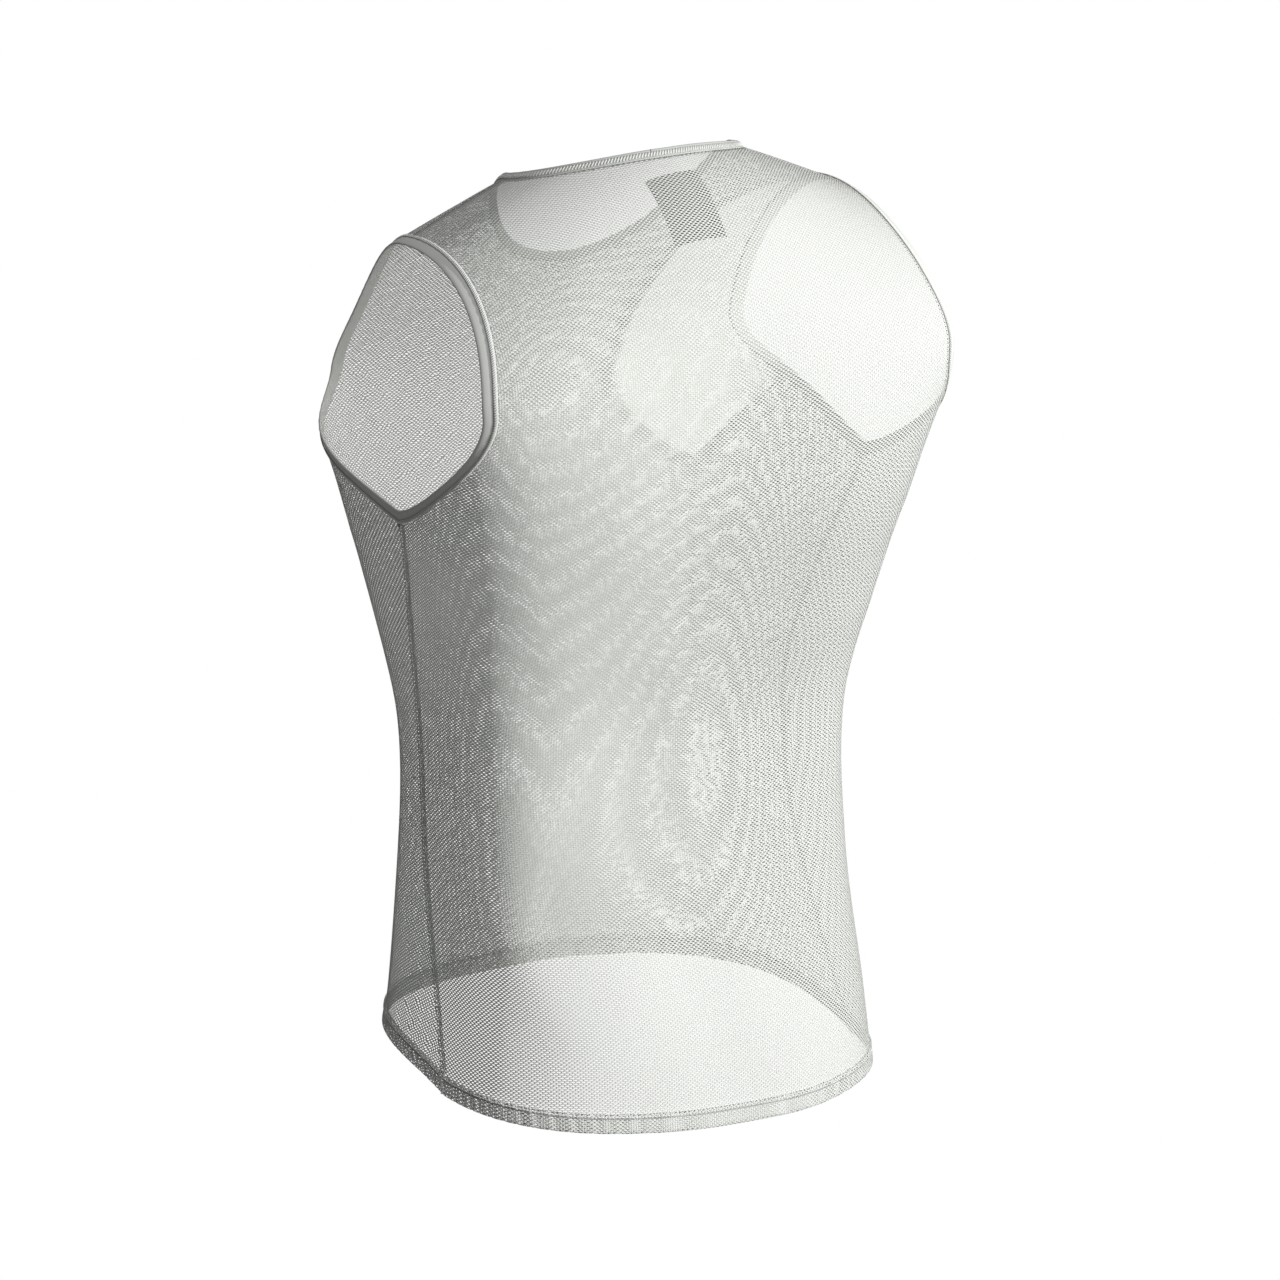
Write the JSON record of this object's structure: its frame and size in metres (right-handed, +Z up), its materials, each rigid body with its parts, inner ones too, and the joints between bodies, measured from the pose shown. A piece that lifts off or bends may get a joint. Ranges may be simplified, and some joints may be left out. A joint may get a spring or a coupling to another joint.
{
  "type": "sleeveless base layer",
  "caption": "Sleeveless open-knit base layer, filled out as worn, with bound neck and armholes, a turned-up hem and a dropped back tail; worn next to the skin under sports clothing",
  "frame": {"origin": "midway between the neck ends of the two shoulder seams, where the wearer's shoulders hold the garment up", "axes": "+Z up, +X to the wearer's left, the front faces -Y"},
  "size_m": [0.4222, 0.2655, 0.698],
  "materials": {
    "knit_back": "white open mesh knit, small staggered oval holes, matte",
    "knit_front": "white open mesh knit, small staggered oval holes, matte",
    "neck_rib": "white fine rib, folded and coverstitched, matte",
    "armhole_rib": "white fine rib, folded and coverstitched, matte",
    "label_satin": "plain woven label, grey, slight satin sheen, unprinted"
  },
  "bodies": {
    "root": {"back_panel": "knit_back", "front_panel": "knit_front", "neck_binding": "neck_rib", "armhole_binding_left": "armhole_rib", "armhole_binding_right": "armhole_rib", "neck_label": "label_satin"}
  },
  "joints": []
}
